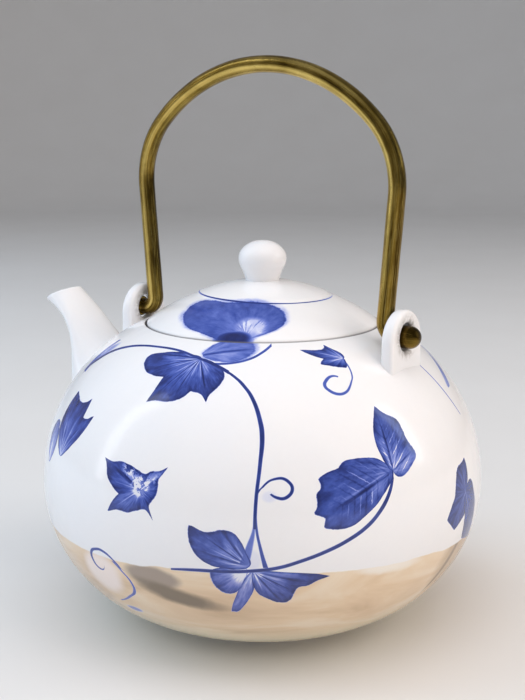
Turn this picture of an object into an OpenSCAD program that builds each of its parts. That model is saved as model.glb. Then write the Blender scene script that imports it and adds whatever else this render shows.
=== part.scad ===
// Porcelain teapot with a swinging brass bail.
// Origin: centre of the foot, on the table. +Z up, spout towards -X, bail pivots along X.

/* [Body] */
// Radius of the body at its widest ring
belly_r = 83; // [80:0.5:86]
// Height of the widest ring above the table
belly_z = 54; // [53:0.5:56]
// Radius of the arc that shapes the upper half of the body
shoulder_arc = 63; // [62:0.5:64]
// Radius of the arc that shapes the lower half of the body
base_arc = 51; // [50:0.5:51]
// Thickness of the fired wall
wall = 4; // [3.5:0.25:4.5]

/* [Foot] */
// Outer radius of the foot ring
foot_r = 38; // [36:0.5:40]
// Width of the foot ring
foot_w = 4.5; // [4:0.5:6]
// Radius of the soft edge that the foot stands on
foot_edge = 1; // [0.5:0.25:1.5]

/* [Mouth] */
// Radius of the recess that the lid drops into
seat_r = 44; // [43.5:0.25:45]
// Height of the ledge that carries the lid
ledge_z = 109.3; // [109:0.1:109.6]
// Thickness of the ledge
ledge_t = 3; // [2.5:0.25:3.5]
// Radius of the throat inside the ledge
throat_r = 36; // [35.5:0.25:37]

/* [Strainer] */
// Radius of each strainer hole
strainer_hole_r = 2.3; // [1.5:0.1:2.5]
// Number of holes around the middle one
strainer_count = 6; // [4:1:7]
// Radius of the circle that they are on
strainer_ring_r = 8; // [7:0.5:9]
// Angle of the strainer above level, seen from the middle of the shoulder arc
strainer_tilt = 22; // [18:1:25]

/* [Spout] */
// Front line of the spout: root, two pull points and the lip, as [x, z]
spout_front = [[-80, 54], [-106.5, 71.5], [-73, 96.5], [-111.3, 111.3]];
// Back line of the spout: root, pull point and the lip, as [x, z]
spout_back = [[-66.5, 92], [-81, 98], [-97, 117]];
// Half breadth of the spout at its root, between and at the lip
spout_breadth = [20, 13, 8.2];
// Thickness of the spout at its root
spout_wall_root = 3.5; // [3:0.25:4]
// Thickness of the spout at its lip
spout_wall_lip = 1.8; // [1.5:0.1:2.2]

/* [Lugs] */
// Half width of a lug
lug_r = 11; // [10.5:0.5:12]
// Thickness of a lug
lug_t = 4.7; // [4.5:0.1:5.5]
// Distance from the axis of the pot to a lug's inner face
lug_x = 56.7; // [56.7:0.1:57.2]
// Radius of the hole through a lug
lug_hole_r = 4.8; // [4.5:0.1:5]
// Drop of the lug's round top below the hole's middle
lug_drop = 1.5; // [1:0.25:2]
// Widening of the hole's mouth on both faces
lug_bevel = 1.2; // [0.5:0.1:1.5]
// Height of the hole, which is the bail's pivot
pivot_z = 112.5; // [112.5:0.25:113.5]

/* [Lid] */
// Radius of the lid's rim
lid_r = 43.4; // [42.9:0.1:43.5]
// Height of the lid's top under the knob
lid_top_z = 127; // [126:0.5:128]
// Height of the rim's upper edge
lid_rim_z = 112.6; // [112:0.1:113]
// Thickness of the lid
lid_t = 4; // [3.5:0.25:4.5]
// Radius of the raised disc round the knob
disc_r = 24.5; // [23:0.5:27]
// Height of the step at the disc's edge
disc_step = 0.5; // [0.3:0.1:0.8]
// Outer radius of the collar that keeps the lid central
collar_r = 34.5; // [34:0.25:35]
// Thickness of the collar
collar_t = 3; // [2.5:0.25:3.5]
// Height of the collar's lower edge
collar_z = 98; // [96:0.5:102]

/* [Knob] */
// Widest radius of the knob
knob_r = 9; // [8:0.25:10]
// Half height of the knob's round head
knob_head = 7; // [6.5:0.25:7.5]
// Height of the knob's widest ring
knob_z = 135.6; // [135:0.1:136.5]
// Radius of the knob's neck
knob_neck_r = 6.1; // [5.5:0.1:6.5]

/* [Bail] */
// Radius of the brass rod
rod_r = 3.15; // [3:0.05:3.2]
// Radius of the arch's crown, whose middle is on the pot's axis
crown_r = 65; // [64:0.25:65]
// Radius of the arch's two corners
corner_r = 33; // [32:0.25:33]
// Sweep of each corner, in degrees
corner_sweep = 48.5; // [48.5:0.5:52]
// Length of each straight leg
leg_length = 43.5; // [40:0.5:48]
// Outward lean of each leg, in degrees
leg_lean = 4.5; // [4.5:0.25:6]
// Radius of the elbow that turns into the lug
elbow_r = 4.5; // [4:0.25:5]

/* [Bail caps] */
// Radius of the round cap on each end of the rod
cap_r = 4; // [3.8:0.05:4.1]
// Distance from the axis of the pot to the middle of a cap's ball
cap_x = 62.3; // [62:0.1:63]
// Length of the cap's straight collar
cap_collar = 3; // [2.5:0.25:3.5]
// Depth of the rod's end inside the ball, from the ball's middle
cap_overlap = 0.5; // [0.25:0.25:1]

/* [Hidden] */
$fn = 144;

// Middle of each body arc, measured from the axis
shoulder_mid = belly_r - shoulder_arc;
base_mid = belly_r - base_arc;
body_floor_z = belly_z - base_arc;

// The lid's dome is part of a sphere through its top and its rim
lid_rise = lid_top_z - lid_rim_z;
lid_sphere_r = (lid_r * lid_r + lid_rise * lid_rise) / (2 * lid_rise);
lid_sphere_z = lid_top_z - lid_sphere_r;
knob_foot_z = lid_top_z - 1;

// Each corner starts where the crown ends, and the elbow turns past a right angle to bring the rod level
crown_half = 90 - corner_sweep + leg_lean;
elbow_turn = 90 + leg_lean;
corner_mid_x = (crown_r - corner_r) * sin(crown_half);
elbow_mid_x = corner_mid_x + (corner_r + elbow_r) * cos(leg_lean) - leg_length * sin(leg_lean);
elbow_mid_z = pivot_z + elbow_r;
corner_mid_z = elbow_mid_z + (corner_r + elbow_r) * sin(leg_lean) + leg_length * cos(leg_lean);
crown_mid_z = corner_mid_z - (crown_r - corner_r) * cos(crown_half);
rod_end_x = cap_x + cap_overlap;
join_t = 0.15;
join_w = 1.6;

spout_rings = 18;
spout_sides = 28;

porcelain = "ghostwhite";
glaze = "aliceblue";
brass = "darkgoldenrod";

// Half outline of the body, drawn in by the given depth
module body_outline(depth) {
    intersection() {
        translate([shoulder_mid, belly_z]) circle(r = shoulder_arc - depth);
        translate([0, belly_z]) square([belly_r, shoulder_arc]);
    }
    intersection() {
        translate([base_mid, belly_z]) circle(r = base_arc - depth);
        translate([0, body_floor_z]) square([belly_r, base_arc]);
    }
    translate([0, belly_z]) square([shoulder_mid, shoulder_arc - depth]);
    translate([0, body_floor_z + depth]) square([base_mid, base_arc - depth]);
}

module body_solid() {
    rotate_extrude() body_outline(0);
}

module strainer_holes() {
    translate([-shoulder_mid, 0, belly_z]) rotate([0, strainer_tilt - 90, 0])
        translate([0, 0, shoulder_arc - 2 * wall]) {
            cylinder(r = strainer_hole_r, h = 4 * wall, $fn = 32);
            for (i = [0:strainer_count - 1])
                rotate([0, 0, i * 360 / strainer_count]) translate([strainer_ring_r, 0, 0])
                    cylinder(r = strainer_hole_r, h = 4 * wall, $fn = 32);
        }
}

// Half outline of the whole wall, with the recess and the ledge that carry the lid
module wall_outline() {
    difference() {
        body_outline(0);
        body_outline(wall);
        translate([0, ledge_z - ledge_t]) square([seat_r, belly_r]);
    }
    intersection() {
        body_outline(0);
        translate([throat_r, ledge_z - ledge_t]) square([seat_r - throat_r + wall, ledge_t]);
    }
}

// The upper half of the body, luted on the lower half at the widest ring
module body_shoulder() {
    color(porcelain) difference() {
        rotate_extrude() intersection() {
            wall_outline();
            translate([0, belly_z]) square([belly_r, shoulder_arc]);
        }
        strainer_holes();
    }
}

module body_bowl() {
    color(porcelain) rotate_extrude() intersection() {
        wall_outline();
        translate([0, body_floor_z]) square([belly_r, base_arc]);
    }
}

module foot_ring() {
    color(porcelain) rotate_extrude() difference() {
        union() {
            translate([foot_r - foot_w, foot_edge]) square([foot_w, foot_edge + body_floor_z]);
            translate([foot_r - foot_w + foot_edge, 0]) square([foot_w - 2 * foot_edge, foot_edge]);
            translate([foot_r - foot_edge, foot_edge]) circle(r = foot_edge, $fn = 32);
            translate([foot_r - foot_w + foot_edge, foot_edge]) circle(r = foot_edge, $fn = 32);
        }
        body_outline(0);
    }
}

// Points on the spout's lines: a cubic curve in front, a square one behind and for the breadth
function cubic(p, t) = pow(1 - t, 3) * p[0] + 3 * t * pow(1 - t, 2) * p[1]
    + 3 * t * t * (1 - t) * p[2] + pow(t, 3) * p[3];
function square_curve(p, t) = pow(1 - t, 2) * p[0] + 2 * t * (1 - t) * p[1] + t * t * p[2];

// One ring of the spout: an ellipse between the front and back lines, drawn in by a thickness
function spout_ring(t, thick) =
    let (front = cubic(spout_front, t), back = square_curve(spout_back, t),
         mid = (front + back) / 2, half = norm(back - front) / 2, along = (back - front) / norm(back - front))
    [for (i = [0:spout_sides - 1])
        let (a = 360 * i / spout_sides, u = (half - thick) * cos(a),
             v = (square_curve(spout_breadth, t) - thick) * sin(a))
        [mid[0] + along[0] * u, v, mid[1] + along[1] * u]];

function spout_thick(t) = spout_wall_root + (spout_wall_lip - spout_wall_root) * t;

// Outer skin going up, then inner skin coming down, closed into a tube
spout_points = [for (k = [0:spout_rings]) each spout_ring(k / spout_rings, 0),
                for (k = [spout_rings:-1:0]) each spout_ring(k / spout_rings, spout_thick(k / spout_rings))];
spout_loops = 2 * (spout_rings + 1);
spout_faces = [for (k = [0:spout_loops - 1], i = [0:spout_sides - 1], corner = [0, 1])
    let (a = k * spout_sides, b = ((k + 1) % spout_loops) * spout_sides, j = (i + 1) % spout_sides)
    corner == 0 ? [a + i, b + i, b + j] : [a + i, b + j, a + j]];

module spout() {
    color(porcelain) difference() {
        polyhedron(points = spout_points, faces = spout_faces, convexity = 6);
        body_solid();
    }
}

// A lug on the +X side: a round-topped plate with a bevelled hole, standing on the shoulder
module lug() {
    difference() {
        translate([lug_x, 0, pivot_z - lug_drop]) rotate([90, 0, 90]) linear_extrude(lug_t) {
            circle(r = lug_r);
            translate([-lug_r, -2 * lug_r]) square([2 * lug_r, 2 * lug_r]);
        }
        translate([lug_x - 1, 0, pivot_z]) rotate([0, 90, 0]) cylinder(r = lug_hole_r, h = lug_t + 2);
        translate([lug_x, 0, pivot_z]) rotate([0, 90, 0])
            cylinder(r1 = lug_hole_r + lug_bevel, r2 = lug_hole_r, h = lug_bevel);
        translate([lug_x + lug_t, 0, pivot_z]) rotate([0, -90, 0])
            cylinder(r1 = lug_hole_r + lug_bevel, r2 = lug_hole_r, h = lug_bevel);
        body_solid();
    }
}

module spout_side_lug() {
    color(glaze) mirror([1, 0, 0]) lug();
}

module rear_lug() {
    color(glaze) lug();
}

// Half outline of everything under the lid's sphere, drawn in by the given depth
module lid_outline(depth) {
    intersection() {
        translate([0, lid_sphere_z]) circle(r = lid_sphere_r - depth);
        translate([0, ledge_z]) square([lid_r, lid_sphere_r]);
    }
}

module lid_dome() {
    color(porcelain) rotate_extrude() {
        difference() {
            lid_outline(0);
            lid_outline(lid_t);
        }
        intersection() {
            difference() {
                translate([0, lid_sphere_z]) circle(r = lid_sphere_r + disc_step);
                translate([0, lid_sphere_z]) circle(r = lid_sphere_r - lid_t / 2);
            }
            translate([0, ledge_z]) square([disc_r, lid_sphere_r]);
        }
    }
}

module lid_collar() {
    color(porcelain) rotate_extrude() intersection() {
        translate([collar_r - collar_t, collar_z]) square([collar_t, lid_top_z - collar_z]);
        translate([0, lid_sphere_z]) circle(r = lid_sphere_r - lid_t);
    }
}

module lid_knob() {
    color(porcelain) rotate_extrude() difference() {
        union() {
            intersection() {
                translate([knob_r - knob_head, knob_z]) circle(r = knob_head);
                translate([0, knob_z - knob_head]) square([knob_r, 2 * knob_head]);
            }
            translate([0, knob_z - knob_head]) square([knob_r - knob_head, 2 * knob_head]);
            translate([0, knob_foot_z]) square([knob_neck_r, knob_z - knob_foot_z]);
        }
        translate([0, lid_sphere_z]) circle(r = lid_sphere_r + disc_step);
    }
}

// A bend of the rod, lying flat, from the local X axis counter-clockwise
module rod_bend(bend_r, sweep) {
    rotate_extrude(angle = sweep) translate([bend_r, 0]) circle(r = rod_r, $fn = 48);
}

module rod_straight(length) {
    cylinder(r = rod_r, h = length, $fn = 48);
}

// A low band round the place where two lengths of the rod meet, along the local Y axis
module rod_join() {
    rotate([90, 0, 0]) cylinder(r = rod_r + join_t, h = join_w, $fn = 48, center = true);
}

// One side of the bail, lying flat, carried on from the crown's end: corner, leg, elbow and stub
module bail_side() {
    rotate([0, 0, 90 - crown_half]) translate([crown_r - corner_r, 0, 0]) {
        translate([corner_r, 0, 0]) rod_join();
        rotate([0, 0, -corner_sweep]) {
            rod_bend(corner_r, corner_sweep);
            translate([corner_r, 0, 0]) {
                rod_join();
                rotate([90, 0, 0]) rod_straight(leg_length);
                translate([0, -leg_length, 0]) rod_join();
            }
            translate([corner_r + elbow_r, -leg_length, 0]) rotate([0, 0, 180]) {
                rod_bend(elbow_r, elbow_turn);
                rotate([0, 0, elbow_turn]) translate([elbow_r, 0, 0]) {
                    rod_join();
                    rotate([-90, 0, 0]) rod_straight(rod_end_x - elbow_mid_x);
                }
            }
        }
    }
}

module bail_rod() {
    color(brass) translate([0, 0, crown_mid_z]) rotate([90, 0, 0]) union() {
        rotate([0, 0, 90 - crown_half]) rod_bend(crown_r, 2 * crown_half);
        bail_side();
        mirror([1, 0, 0]) bail_side();
    }
}

// A round cap pressed on the end of the rod, on the +X side
module bail_cap() {
    difference() {
        union() {
            translate([cap_x, 0, pivot_z]) sphere(r = cap_r, $fn = 48);
            translate([cap_x - cap_collar, 0, pivot_z]) rotate([0, 90, 0])
                cylinder(r = cap_r, h = cap_collar, $fn = 48);
        }
        translate([cap_x - 2 * cap_collar, 0, pivot_z]) rotate([0, 90, 0])
            cylinder(r = rod_r, h = cap_overlap + 2 * cap_collar, $fn = 48);
    }
}

module spout_side_cap() {
    color(brass) mirror([1, 0, 0]) bail_cap();
}

module rear_cap() {
    color(brass) bail_cap();
}

body_shoulder();
body_bowl();
foot_ring();
spout();
spout_side_lug();
rear_lug();
lid_dome();
lid_collar();
lid_knob();
bail_rod();
spout_side_cap();
rear_cap();
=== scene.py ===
import math
import bpy
import numpy as np
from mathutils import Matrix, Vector


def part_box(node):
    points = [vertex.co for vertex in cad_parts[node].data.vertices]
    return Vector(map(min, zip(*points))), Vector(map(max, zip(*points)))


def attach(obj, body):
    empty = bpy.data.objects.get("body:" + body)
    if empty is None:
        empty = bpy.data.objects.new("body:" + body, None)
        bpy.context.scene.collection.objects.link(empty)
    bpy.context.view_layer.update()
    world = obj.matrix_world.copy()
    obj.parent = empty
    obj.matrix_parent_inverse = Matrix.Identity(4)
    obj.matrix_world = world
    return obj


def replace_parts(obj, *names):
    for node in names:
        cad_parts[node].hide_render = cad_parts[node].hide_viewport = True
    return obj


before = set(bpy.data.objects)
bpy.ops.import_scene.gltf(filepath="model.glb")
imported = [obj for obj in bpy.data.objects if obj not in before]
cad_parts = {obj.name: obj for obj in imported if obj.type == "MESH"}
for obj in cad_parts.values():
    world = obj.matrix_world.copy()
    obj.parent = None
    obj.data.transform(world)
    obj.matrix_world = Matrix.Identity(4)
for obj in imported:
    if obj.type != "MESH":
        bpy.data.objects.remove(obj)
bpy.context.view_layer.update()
scene = bpy.context.scene
mm = 0.001


def boxOf(node):
    # the low and the high corner of a node's box, in mm
    return [np.array(corner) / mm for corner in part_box(node)]


# sizes, in mm
_, shoulderHigh = boxOf("body_shoulder")
bowlLow, bowlHigh = boxOf("body_bowl")
capLow, capHigh = boxOf("rear_cap")
bellyR = shoulderHigh[0]
bellyZ = bowlHigh[2]
shoulderArc = 63.0
baseArc = bellyZ - bowlLow[2]
shoulderMid = bellyR - shoulderArc
baseMid = bellyR - baseArc
wall = 4.0
seatR = 44.0
pivotZ = (capLow[2] + capHigh[2]) / 2
lidR = 43.4
lidTopZ = 127.0
lidRimZ = 112.6
lidRise = lidTopZ - lidRimZ
lidArc = (lidR ** 2 + lidRise ** 2) / (2 * lidRise)
lidMidZ = lidTopZ - lidArc


# shaping helpers
def arc(mid, reach, start, end, count):
    # points at one distance from mid, from one angle to another in degrees
    turn = np.radians(np.linspace(start, end, count))
    return np.column_stack([mid[0] + reach * np.cos(turn), mid[1] + reach * np.sin(turn),
                            np.zeros(count)])


def softened(stops, steps=6):
    # a stop's third number rounds its corner: a square curve that starts and ends that far from it
    stops = np.vstack(stops)
    line = []
    for k, (x, z, reach) in enumerate(stops):
        corner = np.array([x, z])
        if reach == 0:
            line.append(corner[None])
            continue
        back = stops[k - 1, :2] - corner
        ahead = stops[(k + 1) % len(stops), :2] - corner
        start = corner + back / np.linalg.norm(back) * reach
        end = corner + ahead / np.linalg.norm(ahead) * reach
        t = np.linspace(0, 1, steps)[:, None]
        line.append((1 - t) ** 2 * start + 2 * t * (1 - t) * corner + t * t * end)
    return np.vstack(line)


def flowing(stops, steps=8):
    # a smooth line through the stops, each span a cubic that leaves along the line between its neighbours
    p = np.array(stops, float)
    padded = np.vstack([2 * p[0] - p[1], p, 2 * p[-1] - p[-2]])
    t = np.linspace(0, 1, steps, endpoint=False)[:, None]
    spans = []
    for k in range(1, len(padded) - 2):
        a, b, c, d = padded[k - 1:k + 3]
        spans.append(0.5 * (2 * b + (c - a) * t + (2 * a - 5 * b + 4 * c - d) * t ** 2
                            + (3 * b - a - 3 * c + d) * t ** 3))
    return np.vstack(spans + [p[-1][None]])


def gridFaces(rows, sides, ring):
    # four-cornered faces between neighbouring rows; ring joins the last row to the first
    last = rows if ring else rows - 1
    row = np.repeat(np.arange(last), sides)
    side = np.tile(np.arange(sides), last)
    nextRow, nextSide = (row + 1) % rows, (side + 1) % sides
    return np.column_stack([row * sides + side, row * sides + nextSide,
                            nextRow * sides + nextSide, nextRow * sides + side])


def makePiece(name, points, faces, body, material, marks=None):
    # points in mm; faces is a list of whole arrays of corners; marks is one pair of numbers for each point
    corners = np.concatenate([f.ravel() for f in faces]).astype(np.int32)
    sizes = np.concatenate([np.full(len(f), f.shape[1]) for f in faces]).astype(np.int32)
    volume = 0.0
    for f in faces:
        for k in range(1, f.shape[1] - 1):
            a, b, c = points[f[:, 0]], points[f[:, k]], points[f[:, k + 1]]
            volume += np.einsum("ij,ij->", a, np.cross(b, c)) / 6
    if volume < 0:
        corners = np.concatenate([f[:, ::-1].ravel() for f in faces]).astype(np.int32)
    mesh = bpy.data.meshes.new(name)
    mesh.vertices.add(len(points))
    mesh.vertices.foreach_set("co", (points * mm).astype(np.float32).ravel())
    mesh.loops.add(len(corners))
    mesh.loops.foreach_set("vertex_index", corners)
    mesh.polygons.add(len(sizes))
    mesh.polygons.foreach_set("loop_start", np.concatenate([[0], np.cumsum(sizes)[:-1]]).astype(np.int32))
    mesh.polygons.foreach_set("loop_total", sizes)
    mesh.polygons.foreach_set("use_smooth", np.ones(len(sizes), bool))
    if marks is not None:
        layer = mesh.uv_layers.new(name="lay")
        layer.data.foreach_set("uv", marks[corners].astype(np.float32).ravel())
    mesh.update(calc_edges=True)
    mesh.validate()
    piece = bpy.data.objects.new(name, mesh)
    scene.collection.objects.link(piece)
    mesh.materials.append(material)
    if body:
        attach(piece, body)
    return piece


def turned(outline, sides):
    # the outline of radius and height swept round +Z; it ends on the axis at both ends, or is a closed ring
    radius, height = outline[:, 0], outline[:, 1]
    poled = radius[0] < 1e-6 and radius[-1] < 1e-6
    rows = slice(1, -1) if poled else slice(None)
    angle = np.arange(sides) * 2 * np.pi / sides
    r, z = radius[rows], height[rows]
    points = np.stack([r[:, None] * np.cos(angle), r[:, None] * np.sin(angle),
                       np.repeat(z[:, None], sides, 1)], -1).reshape(-1, 3)
    faces = [gridFaces(len(r), sides, not poled)]
    if poled:
        low, high = len(points), len(points) + 1
        points = np.vstack([points, [0, 0, height[0]], [0, 0, height[-1]]])
        side = np.arange(sides)
        ahead = (side + 1) % sides
        top = (len(r) - 1) * sides
        faces.append(np.column_stack([np.full(sides, low), ahead, side]))
        faces.append(np.column_stack([np.full(sides, high), top + side, top + ahead]))
    return points, faces


def bodyGap(x, y, z):
    # distance from a point to the outside of the body, below zero inside it
    r = np.hypot(x, y)
    upper = np.hypot(np.maximum(r - shoulderMid, 0), z - bellyZ) - shoulderArc
    lower = np.hypot(np.maximum(r - baseMid, 0), z - bellyZ) - baseArc
    return np.where(z > bellyZ, upper, lower)


# a board of shader nodes
class Board:
    def __init__(self, name):
        self.material = bpy.data.materials.new(name)
        self.material.use_nodes = True
        self.tree = self.material.node_tree
        self.tree.nodes.clear()

    def put(self, kind, **settings):
        node = self.tree.nodes.new(kind)
        for key, value in settings.items():
            setattr(node, key, value)
        return node

    def feed(self, socket, value):
        if isinstance(value, bpy.types.NodeSocket):
            self.tree.links.new(value, socket)
        elif value is not None:
            socket.default_value = value

    def calc(self, operation, a, b=None, c=None):
        node = self.put("ShaderNodeMath", operation=operation)
        for socket, value in zip(node.inputs, (a, b, c)):
            self.feed(socket, value)
        return node.outputs[0]

    def plus(self, a, b):
        return self.calc("ADD", a, b)

    def minus(self, a, b):
        return self.calc("SUBTRACT", a, b)

    def times(self, a, b):
        return self.calc("MULTIPLY", a, b)

    def scaled(self, a, factor, extra):
        # a times the factor, plus the extra
        return self.calc("MULTIPLY_ADD", a, factor, extra)

    def middled(self, value, factor, extra):
        # a noise taken about its middle, times the factor, plus the extra
        return self.scaled(self.minus(value, 0.5), factor, extra)

    def between(self, value, low, high):
        return self.times(self.calc("GREATER_THAN", value, low), self.calc("LESS_THAN", value, high))

    def length(self, x, y):
        return self.calc("SQRT", self.plus(self.times(x, x), self.times(y, y)))

    def vector(self, operation, a, b=None, out=0):
        node = self.put("ShaderNodeVectorMath", operation=operation)
        self.feed(node.inputs[0], a)
        self.feed(node.inputs[1], b)
        return node.outputs[out]

    def split(self, value):
        node = self.put("ShaderNodeSeparateXYZ")
        self.feed(node.inputs[0], value)
        return node.outputs

    def join(self, x, y, z):
        node = self.put("ShaderNodeCombineXYZ")
        for socket, value in zip(node.inputs, (x, y, z)):
            self.feed(socket, value)
        return node.outputs[0]

    def spread(self, value, low, high, toLow=0.0, toHigh=1.0, soft=False):
        node = self.put("ShaderNodeMapRange", interpolation_type="SMOOTHSTEP" if soft else "LINEAR")
        for k, v in enumerate((value, low, high, toLow, toHigh)):
            self.feed(node.inputs[k], v)
        return node.outputs[0]

    def fade(self, value, start, end):
        # 0 before start and 1 after end, with a soft turn between
        return self.spread(value, start, end, soft=True)

    def drawn(self, value, stops, low, high, under, over):
        # a drawn curve: each stop is (place, result), or (place, result, 1) where it has a sharp corner
        place = self.spread(value, low, high)
        node = self.put("ShaderNodeFloatCurve")
        curve = node.mapping.curves[0]
        for k, stop in enumerate(sorted(stops)):
            at = ((stop[0] - low) / (high - low), (stop[1] - under) / (over - under))
            if k < 2:
                curve.points[k].location = at
            else:
                curve.points.new(*at)
        marks = sorted(stops)
        for k, point in enumerate(curve.points):
            point.handle_type = "VECTOR" if len(marks[k]) > 2 else "AUTO"
        node.mapping.update()
        self.feed(node.inputs["Value"], place)
        return self.scaled(node.outputs[0], over - under, under)

    def noise(self, place, scale, detail=2.0, roughness=0.5, distortion=0.0):
        node = self.put("ShaderNodeTexNoise")
        self.feed(node.inputs["Vector"], place)
        self.feed(node.inputs["Scale"], scale)
        self.feed(node.inputs["Detail"], detail)
        self.feed(node.inputs["Roughness"], roughness)
        self.feed(node.inputs["Distortion"], distortion)
        return node.outputs[0]

    def ramp(self, value, stops):
        node = self.put("ShaderNodeValToRGB")
        band = node.color_ramp
        while len(band.elements) < len(stops):
            band.elements.new(0.5)
        for element, (place, colour) in zip(band.elements, stops):
            element.position = place
            element.color = (*colour, 1)
        self.feed(node.inputs[0], value)
        return node.outputs[0]

    def blend(self, share, a, b, how="MIX"):
        node = self.put("ShaderNodeMix", data_type="RGBA", blend_type=how)
        colours = [s for s in node.inputs if s.type == "RGBA"]
        self.feed(node.inputs[0], share)
        self.feed(colours[0], (*a, 1) if isinstance(a, tuple) else a)
        self.feed(colours[1], (*b, 1) if isinstance(b, tuple) else b)
        return [s for s in node.outputs if s.type == "RGBA"][0]

    def bump(self, height, strength, distance):
        node = self.put("ShaderNodeBump")
        node.inputs["Strength"].default_value = strength
        node.inputs["Distance"].default_value = distance
        self.feed(node.inputs["Height"], height)
        return node.outputs[0]

    def place(self):
        # the point on the pot in mm
        spot = self.put("ShaderNodeTexCoord").outputs["Object"]
        return self.vector("MULTIPLY", spot, (1000, 1000, 1000))

    def outward(self, place, mid):
        # 1 where the surface faces away from a middle point, 0 on an inner wall
        facing = self.put("ShaderNodeTexCoord").outputs["Normal"]
        ray = self.vector("SUBTRACT", place, mid)
        return self.calc("GREATER_THAN", self.vector("DOT_PRODUCT", facing, ray, out=1), 0.0)

    def finish(self, shader):
        out = self.put("ShaderNodeOutputMaterial")
        self.tree.links.new(shader.outputs[0], out.inputs["Surface"])
        return self.material


# the vine painting
# A spot on the body is an angle, from the front towards the rear lug in degrees, and a climb, the
# distance along the wall above the widest ring in mm. A spot on the lid is an angle and a radius.
def bodySpot(angle, climb):
    a = math.radians(angle)
    mid, reach = (shoulderMid, shoulderArc) if climb >= 0 else (baseMid, baseArc)
    e = climb / reach
    r = mid + reach * math.cos(e)
    spot = np.array([r * math.sin(a), -r * math.cos(a), bellyZ + reach * math.sin(e)])
    out = np.array([math.cos(e) * math.sin(a), -math.cos(e) * math.cos(a), math.sin(e)])
    return spot, out


def lidSpot(angle, radius):
    a = math.radians(angle)
    lift = math.sqrt(lidArc ** 2 - radius ** 2)
    spot = np.array([radius * math.sin(a), -radius * math.cos(a), lidMidZ + lift])
    out = np.array([radius * math.sin(a), -radius * math.cos(a), lift]) / lidArc
    return spot, out


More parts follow.
